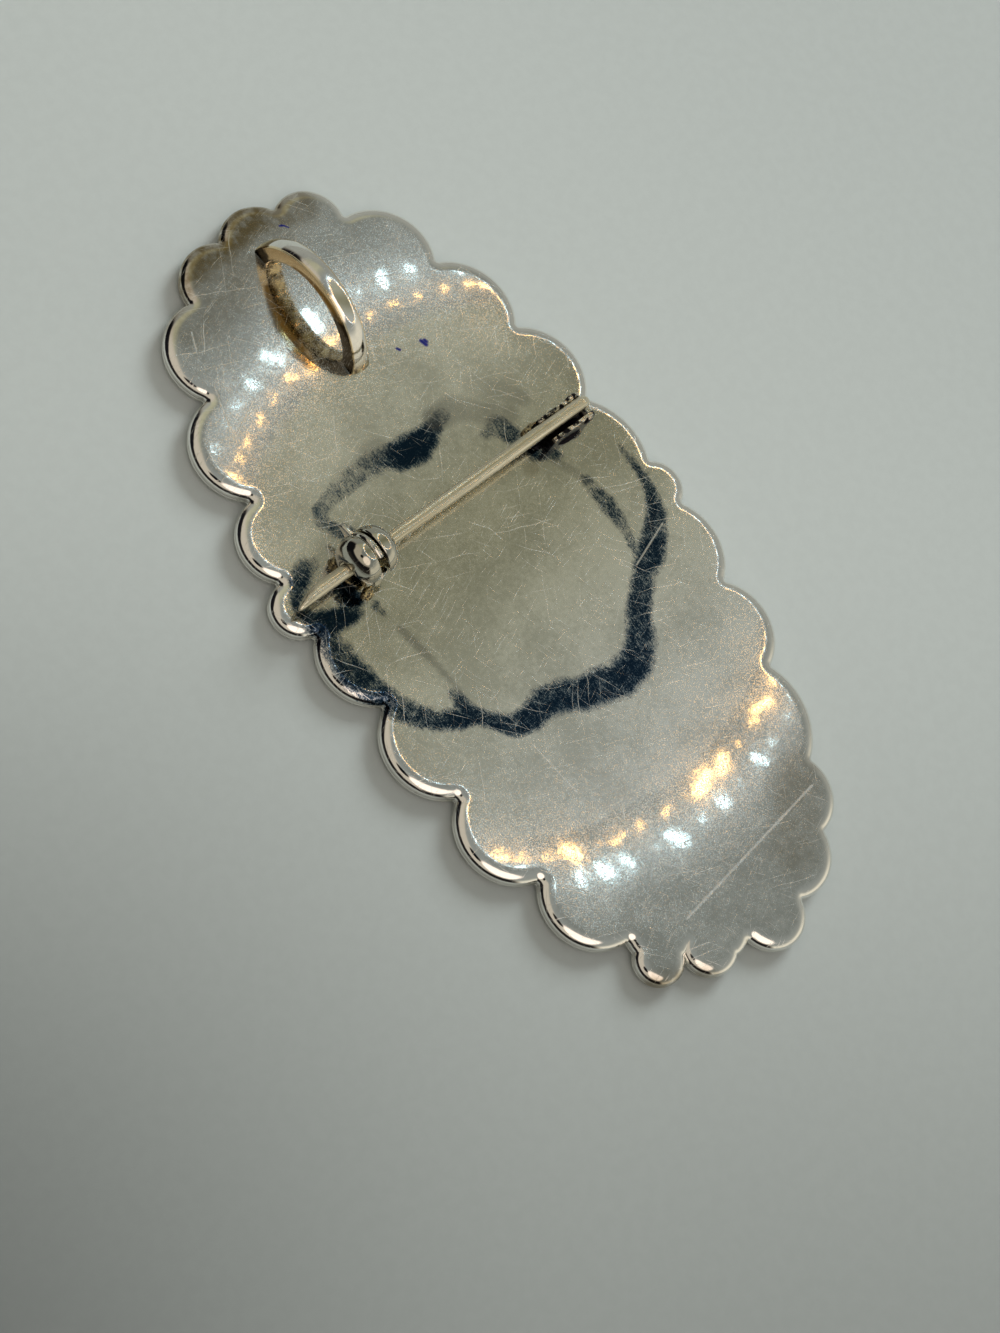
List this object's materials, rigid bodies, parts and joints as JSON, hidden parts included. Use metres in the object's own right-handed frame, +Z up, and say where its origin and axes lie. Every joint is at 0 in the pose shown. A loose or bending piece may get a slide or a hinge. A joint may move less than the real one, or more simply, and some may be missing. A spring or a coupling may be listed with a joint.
{
  "type": "pendant brooch",
  "caption": "Long scalloped silver brooch with a bail, lying face down, its back fitted with a hinged pin and a ball catch with a turning lever.",
  "frame": {"origin": "middle of the bounding box on the ground plane, under the plate's front face", "axes": "+Z up from the ground towards the back of the brooch, +Y along the plate towards the bail, +X across it towards the pin's hinge"},
  "size_m": [0.038, 0.0756, 0.0069],
  "materials": {
    "silver": "satin silver, polished rim, tarnished in patches",
    "rivet": "dull and darkened",
    "wire": "drawn nickel silver wire",
    "lever": "polished"
  },
  "bodies": {
    "brooch": {"silver_body": "silver", "hinge_rivet": "rivet"},
    "pin": {"pin_stem": "wire"},
    "lever": {"catch_lever": "lever"}
  },
  "joints": [
    {"name": "pin_hinge", "type": "hinge", "parent": "brooch", "child": "pin", "pos_m": [0.01405, 0.00792, 0.00332], "axis": [-0.0366, 0.9993, 0], "range_deg": [0, 100]},
    {"name": "lever_turn", "type": "hinge", "parent": "brooch", "child": "lever", "pos_m": [-0.01033, 0.00703, 0.00395], "axis": [0.9993, 0.0366, 0], "range_deg": [0, 50]}
  ]
}
